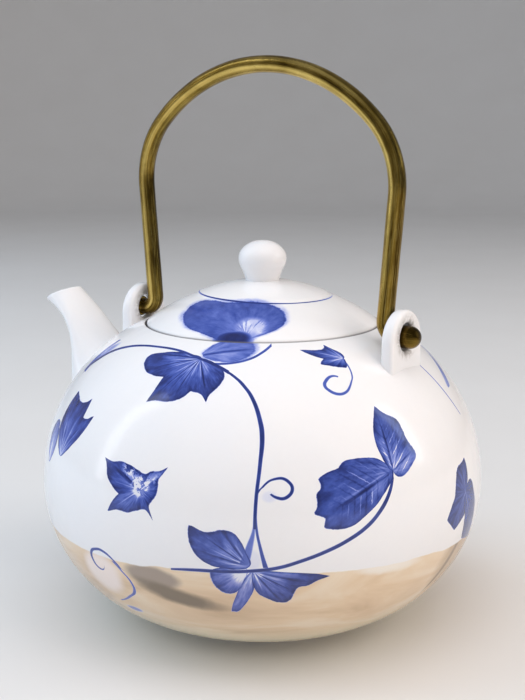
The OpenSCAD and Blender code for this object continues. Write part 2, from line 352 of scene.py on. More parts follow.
class Brush:
    # paints on a board: it keeps the most pigment that any stroke has left at a point
    def __init__(self, board, place, spotOf):
        self.board = b = board
        self.place = place
        self.spotOf = spotOf
        x, y, z = b.split(place)
        self.radius = b.length(x, y)
        self.angle = b.times(b.calc("ARCTAN2", x, b.times(y, -1.0)), 180 / math.pi)
        rise = b.minus(z, float(bellyZ))
        upper = b.calc("ARCTAN2", rise, b.minus(self.radius, float(shoulderMid)))
        lower = b.calc("ARCTAN2", rise, b.minus(self.radius, float(baseMid)))
        isUp = b.calc("GREATER_THAN", rise, 0.0)
        up = b.times(b.times(upper, shoulderArc), isUp)
        down = b.times(b.times(lower, float(baseArc)), b.minus(1.0, isUp))
        self.climb = b.plus(up, down)
        self.cloud = b.noise(place, 0.16, 3.0, 0.55)
        self.grain = b.noise(place, 0.9, 2.0, 0.6)
        self.pigment = None

    def lay(self, amount):
        self.pigment = amount if self.pigment is None else self.board.calc("MAXIMUM", self.pigment, amount)

    def local(self, at, turn):
        # two distances along the surface from a spot, and the angle and reach that they make
        b = self.board
        spot, out = self.spotOf(*at)
        side = np.array([-out[1], out[0], 0])
        side /= np.linalg.norm(side)
        up = np.cross(out, side)
        c, s = math.cos(math.radians(turn)), math.sin(math.radians(turn))
        offset = b.vector("SUBTRACT", self.place, tuple(spot))
        u = b.vector("DOT_PRODUCT", offset, tuple(c * side + s * up), out=1)
        v = b.vector("DOT_PRODUCT", offset, tuple(c * up - s * side), out=1)
        depth = b.vector("DOT_PRODUCT", offset, tuple(out), out=1)
        near = b.calc("GREATER_THAN", depth, -22.0)
        return u, v, b.calc("ARCTAN2", v, u), b.length(u, v), near

    def leaf(self, at, turn, edge, veins=(), ribs=(), tone=0.75, soft=0.3, wash=0.0, washReach=4.0,
             chevron=0.0, slant=0.6, pale=(), flakes=(), heart=0.34, streaky=0.8):
        b = self.board
        u, v, theta, reach, near = self.local(at, turn)
        top = max(e[1] for e in edge) + 1.0
        ends = [(-180.0, 0.5), (180.0, 0.5)] if edge[0][0] > -179 else []
        stops = [(math.radians(e[0]), *e[1:]) for e in [*ends[:1], *edge, *ends[1:]]]
        limit = b.drawn(theta, stops, -math.pi, math.pi, 0.0, top)
        ragged = b.middled(self.grain, soft * 1.6, limit)
        inner = b.minus(ragged, reach)
        mask = b.times(b.fade(inner, -soft * 0.6, soft), near)
        # the tone: light at the heart, dark towards the rim, streaked along the brush's way
        share = b.calc("DIVIDE", reach, b.calc("MAXIMUM", limit, 0.5))
        streak = b.noise(b.join(b.times(theta, 4.2), b.times(reach, 0.10), at[0] * 0.37), 1.6, 3.0, 0.6)
        depth = b.scaled(b.fade(share, 0.1, 0.95), heart, tone - heart * 0.65)
        depth = b.scaled(b.fade(inner, 1.7, 0.1), 0.12, depth)
        depth = b.middled(streak, streaky, depth)
        depth = b.middled(self.cloud, 0.25, depth)
        if veins:
            depth = b.scaled(self.rays(theta, reach, share, veins, 0.17, 0.8), -0.24, depth)
        if chevron:
            across = b.calc("ABSOLUTE", v)
            along = b.minus(u, b.times(across, slant))
            along = b.scaled(self.grain, 0.9, along)
            wave = b.calc("PINGPONG", b.plus(along, 100.0 * chevron), chevron / 2)
            line = b.times(b.fade(wave, 0.32, 0.04), b.fade(across, 0.5, 1.4))
            line = b.times(line, b.fade(share, 0.9, 0.55))
            line = b.times(line, b.fade(self.cloud, 0.36, 0.56))
            depth = b.scaled(line, -0.36, depth)
            shade = b.times(b.fade(wave, chevron / 2 - 0.5, chevron / 2), b.fade(share, 1.0, 0.5))
            depth = b.scaled(shade, 0.14, depth)
        if ribs:
            depth = b.scaled(self.rays(theta, reach, share, ribs, 0.2, 0.95), 0.32, depth)
        # places where little paint was left: soft ones follow the streaks, flaky ones have broken rims
        flaky = b.noise(self.place, 0.5, 3.0, 0.7, 0.8) if flakes else None
        for x, y, size, amount in [*pale, *flakes]:
            gap = b.length(b.minus(u, x), b.minus(v, y))
            rim = b.fade(flaky, 0.46, 0.54) if flakes else b.fade(streak, 0.30, 0.58)
            patch = b.times(b.fade(gap, size, size * 0.4), rim)
            depth = b.scaled(patch, -amount, depth)
        depth = b.calc("MAXIMUM", depth, 0.12)
        paint = b.times(depth, mask)
        if wash:
            halo = b.times(b.fade(inner, -washReach, 0.4), near)
            paint = b.calc("MAXIMUM", paint, b.times(halo, b.times(self.cloud, wash * 1.6)))
        self.lay(paint)

    def rays(self, theta, reach, share, angles, half, end):
        # thin lines that run out from the leaf's base at the given angles, and fade before the rim
        b = self.board
        marks = sorted(angles)
        middles = [(p + q) / 2 for p, q in zip(marks, marks[1:])]
        stops = [(-math.pi, math.radians(min(marks[0] + 180, 60)), 1)]
        for k, m in enumerate(marks):
            stops.append((math.radians(m), 0.0, 1))
            if k < len(middles):
                stops.append((math.radians(middles[k]), math.radians(middles[k] - m), 1))
        stops.append((math.pi, math.radians(min(180 - marks[-1], 60)), 1))
        away = b.drawn(theta, stops, -math.pi, math.pi, 0.0, 2.0)
        gap = b.times(away, reach)
        line = b.fade(gap, half * 1.6, half * 0.3)
        return b.times(line, b.fade(share, end, end * 0.5))

    def stroke(self, along, line, half, tone=0.84, soft=0.2):
        # a long stroke: its middle and its half width are drawn against the angle or the climb
        b = self.board
        value, other = (self.angle, self.climb) if along == "angle" else (self.climb, self.angle)
        low, high = min(p[0] for p in line), max(p[0] for p in line)
        under, over = min(p[1] for p in line) - 1, max(p[1] for p in line) + 1
        middle = b.drawn(value, line, low, high, under, over)
        width = b.drawn(value, half, low, high, 0.0, 3.0)
        gap = b.calc("ABSOLUTE", b.minus(other, middle))
        if along == "climb":
            gap = b.times(gap, b.times(self.radius, math.pi / 180))
        inside = b.between(value, low, high)
        mask = b.times(b.fade(b.minus(width, gap), -soft, soft), inside)
        shade = b.middled(self.cloud, 0.4, tone)
        self.lay(b.times(mask, shade))

    def curl(self, at, turn, line, half, tone=0.85, soft=0.2):
        # a curled stroke round a spot: its reach from the spot and its half width are drawn against the angle
        b = self.board
        _, _, theta, reach, near = self.local(at, turn)
        low, high = math.radians(min(p[0] for p in line)), math.radians(max(p[0] for p in line))
        top = max(p[1] for p in line) + 1
        radial = [(math.radians(p[0]), *p[1:]) for p in line]
        widths = [(math.radians(p[0]), *p[1:]) for p in half]
        middle = b.drawn(theta, radial, low, high, 0.0, top)
        width = b.drawn(theta, widths, low, high, 0.0, 3.0)
        gap = b.calc("ABSOLUTE", b.minus(reach, middle))
        inside = b.times(b.between(theta, low, high), near)
        mask = b.times(b.fade(b.minus(width, gap), -soft, soft), inside)
        self.lay(b.times(mask, tone))

    def patch(self, at, turn, long, wide, soft):
        # 1 inside an oval and 0 outside it, with a soft rim
        b = self.board
        u, v, _, _, near = self.local(at, turn)
        u, v = b.calc("DIVIDE", u, long), b.calc("DIVIDE", v, wide)
        across = b.plus(b.times(u, u), b.times(v, v))
        across = b.middled(self.cloud, soft, across)
        return b.times(b.fade(across, 1.0 + soft, 1.0 - soft), near)

    def blot(self, at, turn, long, wide, tone, soft=0.8):
        # an oval of thin paint
        b = self.board
        mask = self.patch(at, turn, long, wide, soft)
        self.lay(b.times(mask, b.scaled(self.cloud, tone * 0.6, tone * 0.7)))


# pigment from none to the thickest, as light to dark cobalt
cobalt = [(0.0, (0.80, 0.80, 0.815)), (0.14, (0.55, 0.585, 0.80)), (0.32, (0.245, 0.30, 0.65)),
          (0.50, (0.105, 0.155, 0.50)), (0.66, (0.042, 0.078, 0.35)), (0.82, (0.020, 0.038, 0.205)),
          (1.0, (0.010, 0.017, 0.10))]

mainVine = {"along": "angle",
            "line": [(-42.4, 46.5), (-41.6, 49.1), (-38, 54.6), (-34.5, 58.7), (-28, 62.9), (-20.9, 65.5),
                     (-12, 67), (0, 67.2), (10, 64.8), (17.5, 62.3), (24, 58.8)],
            "half": [(-42.4, 2.2), (-41.6, 2.0), (-38, 1.5), (-34.5, 1.1), (-28, 0.75), (-20, 0.55),
                     (0, 0.5), (12, 0.58), (24, 0.75)]}
fallingVine = {"along": "climb",
               "line": [(60, 22), (57, 26.2), (53.8, 29.2), (48, 32.5), (41, 34.4), (36, 35), (26, 34.5),
                        (16, 33.7), (6, 33.4)],
               "half": [(60, 0.75), (54, 0.68), (48, 0.66), (36, 0.75), (26, 0.6), (6, 0.55)]}
leftFork = {"along": "climb", "line": [(12, 33.4), (6, 33.2), (1, 32.4), (-6, 31.0)],
            "half": [(12, 0), (6, 0.4), (0, 1.1), (-6, 1.6)], "tone": 0.56, "soft": 0.4}
rightFork = {"along": "climb", "line": [(12, 33.6), (6, 33.8), (0, 34.6), (-7, 35.8)],
             "half": [(12, 0.3), (6, 0.4), (0, 0.5), (-7, 0.8)], "tone": 0.72}
sideStem = {"along": "angle", "line": [(17, 62.3), (24.5, 63.2), (30.5, 65.4), (34.6, 68.4), (39, 73)],
            "half": [(17, 0.5), (25, 0.5), (31, 0.6), (39, 0.9)], "tone": 0.7}
rootStroke = {"along": "climb", "line": [(46, -42), (50, -42.3), (54.4, -42.7), (59, -42.3), (63.5, -41.3)],
              "half": [(46, 1.8), (54, 1.5), (60, 1.2), (63.5, 0.8)], "tone": 0.6}
lowerStem = {"along": "angle",
             "line": [(14, -9.8), (20, -9), (27, -8.7), (33, -8.1), (38, -7.2), (44, -4.8), (49, -2.4),
                      (54, 0.5), (59, 4.4), (62.5, 8.7), (65.3, 13.8), (67.2, 20)],
             "half": [(14, 0.3), (20, 0.55), (33, 0.6), (49, 0.65), (59, 0.8), (64, 1.1), (67.2, 1.6)]}
tailStroke = {"along": "climb",
              "line": [(-12, -2.6), (-15, -0.4), (-19, 1.7), (-22.5, 1.9), (-27, -1), (-32, -6.5)],
              "half": [(-12, 0.6), (-19, 0.45), (-26, 0.7), (-32, 0.5)], "tone": 0.55}
vineCurl = {"at": (38.9, 18.7), "turn": 24,
            "line": [(-175, 3.2), (-127, 2.9), (-102, 3.2), (-69, 3.6), (-24, 4.1), (14, 3.6), (44, 3.4),
                     (83, 3.3), (118, 4), (146, 5.1), (159, 6.3), (175, 7.8)],
            "half": [(-175, 0.3), (-100, 0.5), (0, 0.5), (100, 0.35), (175, 0.35)]}
smallCurl = {"at": (58.3, 52.3), "turn": -120,
             "line": [(-175, 3.8), (-150, 4), (-101, 4), (-67, 4.4), (-30, 3.7), (29, 3.4), (88, 3.9),
                      (115, 4.7), (144, 7.4), (175, 12)],
             "half": [(-175, 0.3), (-100, 0.55), (0, 0.55), (110, 0.4), (175, 0.35)], "tone": 0.62}
lowCurl = {"at": (-6, -12.9), "turn": 129,
           "line": [(-140, 9.5), (-133, 7.2), (-77, 3.9), (-11, 4.2), (43, 6.2), (69, 6.3), (96, 6),
                    (132, 2.6)],
           "half": [(-140, 0.35), (-77, 0.45), (-11, 0.5), (43, 0.6), (69, 0.5), (132, 0.35)], "tone": 0.74}
hangingLeaf = {"at": (12, 64.1), "turn": -126,
               "edge": [(-90, 3), (-76, 8), (-64, 16), (-55, 21.5), (-42, 20.5), (-28, 17.5),
                        (-14, 13.6, 1), (-5, 17.8), (0, 22.8, 1), (8, 20.4), (20, 19), (32, 17),
                        (43, 13.8, 1), (55, 15), (62, 18.8, 1), (68, 16.4), (85, 14.4), (98, 12.5),
                        (114, 6.5), (135, 2)], "veins": (-70, -48, -28, -8, 14, 34, 58, 80),
               "ribs": (-60, -38, 3, 24, 63), "wash": 0.12, "washReach": 3.5, "tone": 0.7}
upperLobe = {"at": (12.3, 66.2), "turn": 28,
             "edge": [(-75, 2), (-50, 6), (-40, 10), (-30, 13.5), (-15, 16.5), (-2, 18), (8, 17), (20, 14),
                      (35, 10), (50, 6), (70, 2.5)], "tone": 0.5, "soft": 1.0, "wash": 0.34,
             "washReach": 2.6, "ribs": (-6,), "heart": 0.12, "streaky": 0.5}
smallLeaf = {"at": (65.4, 63.7), "turn": 150,
             "edge": [(-110, 1.5), (-80, 2.5), (-50, 4.6), (-38, 8.4, 1), (-24, 7.4), (-12, 8.4),
                      (0, 14.7, 1), (10, 11), (22, 7, 1), (37, 9.4, 1), (57, 6.5), (85, 5), (110, 4.5),
                      (130, 2)], "veins": (-40, 0, 36), "tone": 0.68}
risingLeaf = {"at": (67.4, 21), "turn": 90,
              "edge": [(-160, 2), (-125, 4.5), (-100, 6.5), (-84, 9), (-70, 11.8), (-50, 12), (-34, 14.5),
                       (-22, 17.6), (-10, 18.7), (0, 21.6, 1), (6, 18.2), (13, 15.3), (20, 12.4), (28, 9),
                       (38, 5.2), (63, 2)], "ribs": (-62, 1), "veins": (-48, -24, 15), "tone": 0.63,
              "chevron": 4.2, "slant": 1.0, "pale": [(-1, -9, 8, 0.34)]}
broadLeaf = {"at": (67.1, 21), "turn": -158,
             "edge": [(-100, 1), (-74, 3.5), (-66, 6.5), (-54, 10.5), (-46, 14.5), (-40, 18),
                      (-33, 19.6, 1), (-30, 23), (-26, 26.2, 1), (-20, 25.8), (-16, 27.6), (-9, 28.4),
                      (-5, 30.4, 1), (1, 27.6, 1), (6, 29.6, 1), (12, 27), (20, 22.5), (25, 17), (31, 12),
                      (36, 8), (50, 4), (90, 1)], "veins": (-3,), "ribs": (0,), "tone": 0.69,
             "chevron": 4.8, "slant": 0.6, "wash": 0.05, "heart": 0.2}
leftLeaf = {"at": (32, -6.3), "turn": 145,
            "edge": [(-75, 2), (-50, 4), (-40, 8), (-30, 12.2), (-18, 14.5), (-8, 15.8), (-2, 17.5),
                     (2, 22.8, 1), (8, 21.8), (18, 19.6), (28, 16.5), (38, 12), (50, 6), (75, 2)],
            "veins": (-24, -8, 12, 28), "ribs": (-18, 2, 20), "tone": 0.62, "wash": 0.08}
underLeaf = {"at": (31.5, -7.8), "turn": -143,
             "edge": [(-60, 2), (-40, 8), (-28, 11.8), (-14, 12.2), (0, 12.2), (14, 11.8), (26, 10.6),
                      (36, 8), (50, 4), (70, 1.5)], "tone": 0.5, "soft": 0.4, "pale": [(2, 1, 6, 0.3)]}
droppedLeaf = {"at": (32.8, -8.8), "turn": -114,
               "edge": [(-50, 1), (-20, 4), (-8, 9), (-2, 15), (1, 18.2, 1), (8, 17.2, 1), (14, 13),
                        (24, 8), (40, 4), (70, 1)], "tone": 0.5, "soft": 0.5}
rightLeaf = {"at": (33.3, -8.5), "turn": -8,
             "edge": [(-110, 2), (-88, 5), (-74, 8.5), (-60, 11.5), (-50, 14.5), (-38, 16.2), (-28, 15.5),
                      (-20, 15.2), (-12, 18), (-5, 20.5), (0, 24.4, 1), (3, 19.5), (5, 13), (9, 7), (18, 3),
                      (40, 1)], "tone": 0.63, "veins": (-62, -30, -16), "ribs": (-46, -24, -8),
             "pale": [(0, 0, 4, 0.3)]}
sideLeaf = {"at": (-26.4, 17.3), "turn": 110,
            "edge": [(-95, 2), (-75, 7), (-69, 12), (-63, 17), (-56, 22, 1), (-50, 18), (-44, 17, 1),
                     (-35, 23.3, 1), (-28, 20.5), (-20, 19.8), (-8, 21.5), (0, 23.8, 1), (8, 20.2),
                     (18, 16.5), (28, 12.5), (40, 6), (60, 2)], "veins": (-54, -36, -16, 0, 16),
            "tone": 0.7}
sideLobe = {"at": (-34.7, 12.2), "turn": 100,
            "edge": [(-80, 2), (-52, 6.5), (-36, 10), (-18, 13), (0, 15), (14, 14), (26, 12), (40, 7),
                     (60, 2)], "veins": (0,), "tone": 0.5}
starLeaf = {"at": (6, 15.2), "turn": 154,
            "edge": [(-180, 5.7), (-151, 6.4), (-124, 7.2), (-114, 10), (-110, 12.6, 1), (-104, 9),
                     (-91, 7.4), (-71, 5.4), (-47, 6.5), (-27, 9.2), (-14, 12.4), (-4, 14.8), (0, 18.8, 1),
                     (6, 16.5), (16, 14.8), (30, 11.5), (43, 9, 1), (53, 12.8), (61, 15.9, 1), (70, 11.4),
                     (88, 9.2), (109, 7), (136, 6.4), (148, 11, 1), (156, 6), (180, 5.7)],
            "veins": (-112, -60, -20, 20, 62, 100), "ribs": (0,), "tone": 0.66,
            "flakes": [(1, -1, 4.5, 0.7), (7.5, -4, 4.5, 0.6), (-2.5, -6, 4, 0.3)]}
rearLeaf = {"at": (94, 5), "turn": 0,
            "edge": [(-180, 9.2), (-167, 11.8), (-156, 15.3, 1), (-140, 14.2), (-125, 14.1, 1), (-109, 9.9),
                     (-92, 7.7, 1), (-88, 17.2, 1), (-72, 20), (-58, 24, 1), (-50, 18.5), (-30, 12.5),
                     (-7, 8.6), (20, 7.2), (32, 6.3), (49, 3.3, 1), (62, 7), (77, 11.9, 1), (95, 10.6),
                     (115, 10.7), (139, 9.1), (170, 8.6), (180, 9.2)], "tone": 0.78,
            "veins": (-140, -70, 95), "heart": 0.1}
rearBand = {"along": "climb", "line": [(40, 108.5), (42.4, 110.5), (49, 118), (57, 129)],
            "half": [(40, 1.0), (42.4, 2.8), (49, 2.9), (57, 2.6)], "tone": 0.42, "soft": 1.6}
rearTendril = {"along": "climb", "line": [(54, 99), (46, 100.5), (38, 102), (30, 104)],
               "half": [(54, 0.2), (46, 0.4), (30, 0.25)], "tone": 0.45}
lidLeaf = {"at": (27.6, 42.2), "turn": 97,
           "edge": [(-100, 2), (-80, 6), (-70, 11), (-62, 15), (-50, 18), (-36, 20), (-20, 20.5), (0, 20.7),
                    (15, 22.5), (27, 29), (36, 33), (44, 32), (54, 28.5), (64, 23), (72, 16), (90, 8.5),
                    (110, 3)], "tone": 0.62, "soft": 0.9, "wash": 0.28, "washReach": 4.0, "heart": 0.12,
           "streaky": 0.4, "pale": [(5, -2, 7, 0.5)]}


# the warm lower zone, a painted reflection of the tabletop: the climb of its edge against the angle, and soft
# patches in it
reflectionEdge = [(-180, -10), (-120, -10.5), (-60, -13), (-27, -11.7), (-2, -11.2), (6, -10.6), (15, -9.3),
           (45, -9.5), (62, -10.5), (79, -11.3), (94, -13.2), (120, -11.5), (180, -10)]
reflectionSpots = [{"shape": {"at": (8.5, -14.5), "turn": -3, "long": 10.0, "wide": 4.2, "soft": 0.45},
             "colour": (0.34, 0.275, 0.225)},
            {"shape": {"at": (14.5, -21.2), "turn": -13, "long": 15.0, "wide": 3.4, "soft": 0.75},
             "colour": (0.20, 0.152, 0.105)},
            {"shape": {"at": (-8, -19), "turn": 0, "long": 9.0, "wide": 8.0, "soft": 0.6},
             "colour": (0.84, 0.73, 0.68)},
            {"shape": {"at": (66, -11.5), "turn": -4, "long": 12.0, "wide": 2.4, "soft": 0.9},
             "colour": (0.82, 0.76, 0.68)},
            {"shape": {"at": (94, -20), "turn": 70, "long": 15.0, "wide": 11.0, "soft": 0.8},
             "colour": (0.50, 0.36, 0.225)},
            {"shape": {"at": (90, -20), "turn": 62, "long": 13.0, "wide": 1.6, "soft": 0.9},
             "colour": (0.27, 0.19, 0.11)}]


def paintBody(b, place):
    # the spray of the front is painted again on the back, turned half way round
    x, y, z = b.split(place)
    angle = b.times(b.calc("ARCTAN2", x, b.times(y, -1.0)), 180 / math.pi)
    front = b.between(angle, -62.0, 114.0)
    side = b.scaled(front, 2.0, -1.0)
    folded = b.join(b.times(x, side), b.times(y, side), z)
    brush = Brush(b, folded, bodySpot)
    for leaf in (hangingLeaf, upperLobe, smallLeaf, risingLeaf, broadLeaf, leftLeaf, underLeaf, droppedLeaf,
                 rightLeaf, sideLeaf, sideLobe, starLeaf):
        brush.leaf(**leaf)
    for stroke in (mainVine, fallingVine, leftFork, rightFork, sideStem, rootStroke, lowerStem, tailStroke):
        brush.stroke(**stroke)
    for curl in (vineCurl, smallCurl, lowCurl):
        brush.curl(**curl)
    brush.blot((36.6, 16.2), 0, 2.6, 2.0, 0.14)
    brush.blot((33.2, -4.6), 90, 4.0, 2.4, 0.14)
    brush.blot((-40.5, 55.5), 62, 8.0, 2.6, 0.34)
    brush.blot((-2.8, -35.2), 2, 3.6, 1.5, 0.36)
    only = Brush(b, place, bodySpot)
    only.leaf(**rearLeaf)
    only.stroke(**rearBand)
    only.stroke(**rearTendril)
    brush.lay(only.pigment)
    return brush, only


def makeGlaze(name, painter=None, tableReflection=False, rubbedAndShaded=False):
    # clear gloss over white porcelain, with any painting under it, and on the body a painted reflection of
    # the tabletop low down
    b = Board(name)
    place = b.place()
    mottle = b.noise(place, 0.045, 3.0, 0.5)
    speck = b.noise(place, 0.6, 3.0, 0.6)
    white = b.blend(mottle, (0.80, 0.80, 0.825), (0.83, 0.815, 0.81))
    white = b.blend(b.spread(speck, 0.35, 0.75, 0.0, 0.10), white, (0.72, 0.72, 0.75))
    colour = white
    if painter:
        # the painting and the warm zone of painted reflection stay on the outside: the inner wall is plain
        brush, whole = painter(b, place)
        outside = b.outward(place, (0.0, 0.0, float(bellyZ)))
        pigment = b.times(brush.pigment, outside)
        paint = b.ramp(pigment, cobalt)
    if tableReflection:
        # the warm lower zone, a painted reflection of the tabletop: a level edge, long soft patches, a creamy
        # band by the foot, and the paint under it tinted warm
        wobble = b.middled(whole.cloud, 1.0, whole.climb)
        edge = b.drawn(whole.angle, reflectionEdge, -180.0, 180.0, -16.0, -8.0)
        zone = b.times(b.fade(b.minus(edge, wobble), -0.1, 0.5), outside)
        spin = b.times(whole.angle, 0.55)
        patch = b.noise(b.join(spin, b.times(whole.climb, 1.3), 3.0), 0.055, 4.0, 0.55, 0.6)
        tan = b.ramp(patch, [(0.32, (0.55, 0.39, 0.25)), (0.44, (0.67, 0.495, 0.33)),
                             (0.54, (0.735, 0.56, 0.38)), (0.66, (0.785, 0.65, 0.49))])
        for spot in reflectionSpots:
            tan = b.blend(brush.patch(**spot["shape"]), tan, spot["colour"])
        cream = b.fade(whole.climb, -34.0, -52.0)
        tan = b.blend(cream, tan, (0.86, 0.77, 0.56))
        zone = b.times(zone, b.minus(1.0, brush.patch((32.5, -9.5), 0, 9.0, 3.2, 0.7)))
        warmed = b.blend(1.0, paint, (1.0, 0.86, 0.88), "MULTIPLY")
        paint = b.blend(b.times(zone, 0.5), paint, warmed)
        colour = b.blend(zone, white, tan)
    if painter:
        colour = b.blend(b.fade(pigment, 0.02, 0.26), colour, paint)
    _, y, z = b.split(place)
    if painter:
        # painted shade in the narrow gap where the lid's rim meets its seat: on the body over the seat and
        # inside it, on the lid round the foot of its rim
        if tableReflection:
            seamShade = b.times(b.fade(brush.radius, seatR + 0.35, seatR), b.calc("GREATER_THAN", z, 100.0))
        else:
            seamShade = b.times(b.fade(brush.radius, lidR - 0.7, lidR - 0.3), b.fade(z, lidRimZ, lidRimZ - 0.8))
        colour = b.blend(b.times(seamShade, 0.85), colour, (0.23, 0.22, 0.23))
    if rubbedAndShaded:
        # the metal's patchy grey-brown rub round the hole, and painted shade in a solid ring at the hole's
        # mouth
        away = b.length(b.minus(z, float(pivotZ)), y)
        smear = b.noise(place, 0.45, 4.0, 0.65, 0.6)
        rubAndShade = b.times(b.fade(away, 9.0, 4.6), b.fade(smear, 0.34, 0.62))
        rubAndShade = b.calc("MAXIMUM", rubAndShade, b.fade(away, 5.6, 4.6))
        colour = b.blend(b.times(rubAndShade, 0.8), colour, (0.19, 0.165, 0.135))
    shader = b.put("ShaderNodeBsdfPrincipled")
    b.feed(shader.inputs["Base Color"], colour)
    b.feed(shader.inputs["Roughness"], b.spread(speck, 0.3, 0.7, 0.14, 0.22))
    shader.inputs["Specular IOR Level"].default_value = 0.5
    shader.inputs["Coat Weight"].default_value = 0.3
    shader.inputs["Coat Roughness"].default_value = 0.05
    shader.inputs["Subsurface Weight"].default_value = 0.08
    shader.inputs["Subsurface Radius"].default_value = (0.004, 0.003, 0.0025)
    shader.inputs["Subsurface Scale"].default_value = 1.0
    swell = b.noise(place, 0.05, 2.0, 0.5)
    ripple = b.noise(place, 0.35, 2.0, 0.5)
    height = b.scaled(ripple, 0.05, b.times(swell, 0.9))
    relief = b.bump(height, 0.5, 0.0006)
    b.feed(shader.inputs["Normal"], relief)
    b.feed(shader.inputs["Coat Normal"], relief)
    return b.finish(shader)


def paintLid(b, place):
    brush = Brush(b, place, lidSpot)
    brush.leaf(**lidLeaf)
    brush.blot((21.6, 42.4), 4, 6.6, 3.2, 1.0, 0.8)
    # the ring round the knob: a thin line at one radius, strongest in front
    x, y, z = b.split(place)
    x, y = b.minus(x, 1.0), b.minus(y, 0.7)
    gap = b.calc("ABSOLUTE", b.minus(b.length(x, y), 24.9))
    ring = b.fade(gap, 0.46, 0.14)
    front = b.fade(b.calc("ABSOLUTE", b.minus(brush.angle, 28.0)), 100.0, 45.0)
    brush.lay(b.times(ring, b.scaled(front, 0.72, 0.14)))
    return brush, brush


def makeBrass(name, reflectionBands):
    # yellow metal gone olive brown and scratched along the rod; on the rod, light and dark bands running
    # along it are painted reflections
    b = Board(name)
    place = b.place()
    lay = b.put("ShaderNodeUVMap", uv_map="lay").outputs[0]
    around, along, _ = b.split(lay)
    turn = b.times(around, 2 * math.pi)
    c, d = b.calc("COSINE", turn), b.calc("SINE", turn)
    ring = b.join(c, d, 0.0)
    fine = b.vector("ADD", b.vector("MULTIPLY", ring, (7.0, 7.0, 7.0)),
                    b.join(0.0, 0.0, b.times(along, 0.10)))
    grain = b.noise(fine, 1.0, 3.0, 0.6)
    # wide bands round the rod that run along it: painted reflections
    wide = b.vector("ADD", b.vector("MULTIPLY", ring, (1.5, 1.5, 1.5)),
                    b.join(0.0, 0.0, b.times(along, 0.006)))
    band = b.noise(wide, 1.0, 2.0, 0.5)
    patina = b.noise(place, 0.07, 3.0, 0.55, 0.4)
    fleck = b.noise(place, 1.1, 3.0, 0.65)
    shade = b.middled(band, 1.7 if reflectionBands else 0.0, b.middled(patina, 0.5 if reflectionBands else 1.6, 0.5))
    metal = b.ramp(shade, [(0.26, (0.06, 0.034, 0.005)), (0.48, (0.25, 0.16, 0.026)),
                           (0.76, (0.74, 0.54, 0.16))])
    metal = b.blend(b.spread(grain, 0.44, 0.70, 0.0, 0.4 if reflectionBands else 0.1), metal, (0.60, 0.46, 0.14))
    metal = b.blend(b.spread(fleck, 0.62, 0.76, 0.0, 0.2), metal, (0.07, 0.045, 0.012))
    shader = b.put("ShaderNodeBsdfPrincipled")
    b.feed(shader.inputs["Base Color"], metal)
    shader.inputs["Metallic"].default_value = 1.0
    rough = b.scaled(fleck, 0.10, b.spread(grain, 0.3, 0.7, 0.12, 0.24))
    b.feed(shader.inputs["Roughness"], rough)
    b.feed(shader.inputs["Normal"], b.bump(b.plus(grain, b.times(fleck, 0.5)), 0.4, 0.0002))
    return b.finish(shader)


bodyGlaze = makeGlaze("bodyGlaze", paintBody, tableReflection=True)
lidGlaze = makeGlaze("lidGlaze", paintLid)
whiteGlaze = makeGlaze("whiteGlaze")
lugGlaze = makeGlaze("lugGlaze", rubbedAndShaded=True)
rodBrass = makeBrass("rodBrass", True)
capBrass = makeBrass("capBrass", False)
print("materials made")

# body and foot
ledge = {"height": 109.3, "thick": 3.0, "throat": 36.0}
rimAngle = math.degrees(math.acos((seatR - shoulderMid) / shoulderArc))
underZ = ledge["height"] - ledge["thick"]
innerTop = math.degrees(math.asin((underZ - bellyZ) / (shoulderArc - wall)))
innerX = shoulderMid + (shoulderArc - wall) * math.cos(math.radians(innerTop))
bodyOutline = softened([
    [[0, bowlLow[2], 0]],
    [[8, bowlLow[2], 0], [20, bowlLow[2], 0]],
    arc((baseMid, bellyZ), baseArc, -90, 0, 56)[:-1],
    arc((shoulderMid, bellyZ), shoulderArc, 0, rimAngle - 0.8, 58),
    [[seatR, shoulderHigh[2], 0.6], [seatR, ledge["height"], 0.4]],
    [[ledge["throat"], ledge["height"], 0.8], [ledge["throat"], underZ, 0.8]],
    [[innerX, underZ, 0.5]],
    arc((shoulderMid, bellyZ), shoulderArc - wall, innerTop - 1, 0, 24)[:-1],
    arc((baseMid, bellyZ), baseArc - wall, 0, -90, 24),
    [[0, bowlLow[2] + wall, 0]],
], 5)
points, faces = turned(bodyOutline, 288)
potBody = makePiece("potBody", points, faces, "pot", bodyGlaze)
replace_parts(potBody, "body_shoulder", "body_bowl")

foot = {"outer": 38.0, "inner": 33.5}
footOutline = softened([[[foot["inner"], 3.6, 0], [foot["inner"], 0, 1.1], [foot["outer"], 0, 1.1],
                         [foot["outer"], 4.2, 0]]], 7)
points, faces = turned(footOutline, 160)
potFoot = makePiece("potFoot", points, faces, "pot", whiteGlaze)
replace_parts(potFoot, "foot_ring")
print("body made")

# spout
spout = {"front": [(-80, 54), (-106.5, 71.5), (-73, 96.5), (-111.3, 111.3)],
         "back": [(-66.5, 92), (-81, 98), (-97, 117)],
         "breadth": (20, 13, 8.2), "wallRoot": 3.5, "wallLip": 1.8, "flare": 5.0, "sides": 96, "rows": 70}


def spoutAt(t, angle, inward):
    # an ellipse between a cubic front line and a square back line, drawn in by a distance
    f, k, w = (np.array(spout[key], float) for key in ("front", "back", "breadth"))
    q = 1 - t
    front = (q ** 3)[..., None] * f[0] + (3 * t * q * q)[..., None] * f[1] \
        + (3 * t * t * q)[..., None] * f[2] + (t ** 3)[..., None] * f[3]
    back = (q * q)[..., None] * k[0] + (2 * t * q)[..., None] * k[1] + (t * t)[..., None] * k[2]
    breadth = q * q * w[0] + 2 * t * q * w[1] + t * t * w[2]
    span = back - front
    half = np.linalg.norm(span, axis=-1) / 2
    across = span / (2 * half)[..., None]
    middle = (front + back) / 2
    u = (half - inward) * np.cos(angle)
    v = (breadth - inward) * np.sin(angle)
    return np.stack([middle[..., 0] + across[..., 0] * u, v, middle[..., 1] + across[..., 1] * u], -1), across


angle = np.arange(spout["sides"]) * 2 * np.pi / spout["sides"]


